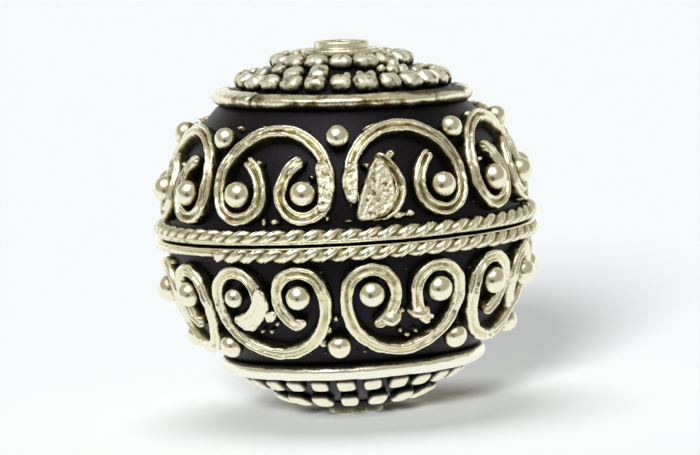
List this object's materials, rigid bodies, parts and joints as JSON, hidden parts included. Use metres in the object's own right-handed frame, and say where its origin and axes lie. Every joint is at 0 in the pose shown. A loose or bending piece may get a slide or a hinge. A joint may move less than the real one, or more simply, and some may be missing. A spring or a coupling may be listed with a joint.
{
  "type": "filigree bead",
  "caption": "Round hollow silver bead with applied scroll wires, granules, twisted rim wires and a straight stringing hole.",
  "frame": {"origin": "the bead's centre, on the stringing axis at the seam between the two half-shells", "axes": "+Z along the stringing hole, -Y towards the side that the picture shows"},
  "size_m": [0.0142, 0.0142, 0.0138],
  "materials": {
    "shell": "blackened sterling silver, satin",
    "wirework": "antiqued sterling silver, polished high spots",
    "granules": "antiqued sterling silver, polished balls"
  },
  "bodies": {
    "root": {"lower_collar_wire": "wirework", "lower_dome": "shell", "lower_eyelet": "wirework", "lower_inner_cap_granules": "granules", "lower_outer_cap_granules": "granules", "lower_rope_wire": "wirework", "lower_scroll_1": "wirework", "lower_scroll_2": "wirework", "lower_scroll_3": "wirework", "lower_scroll_4": "wirework", "lower_scroll_5": "wirework", "lower_scroll_6": "wirework", "lower_scroll_7": "wirework", "lower_scroll_8": "wirework", "lower_scroll_granules": "granules", "lower_spacer_granules": "granules", "upper_collar_wire": "wirework", "upper_dome": "shell", "upper_eyelet": "wirework", "upper_inner_cap_granules": "granules", "upper_outer_cap_granules": "granules", "upper_rope_wire": "wirework", "upper_scroll_1": "wirework", "upper_scroll_2": "wirework", "upper_scroll_3": "wirework", "upper_scroll_4": "wirework", "upper_scroll_5": "wirework", "upper_scroll_6": "wirework", "upper_scroll_7": "wirework", "upper_scroll_8": "wirework", "upper_scroll_granules": "granules", "upper_spacer_granules": "granules"}
  },
  "joints": []
}
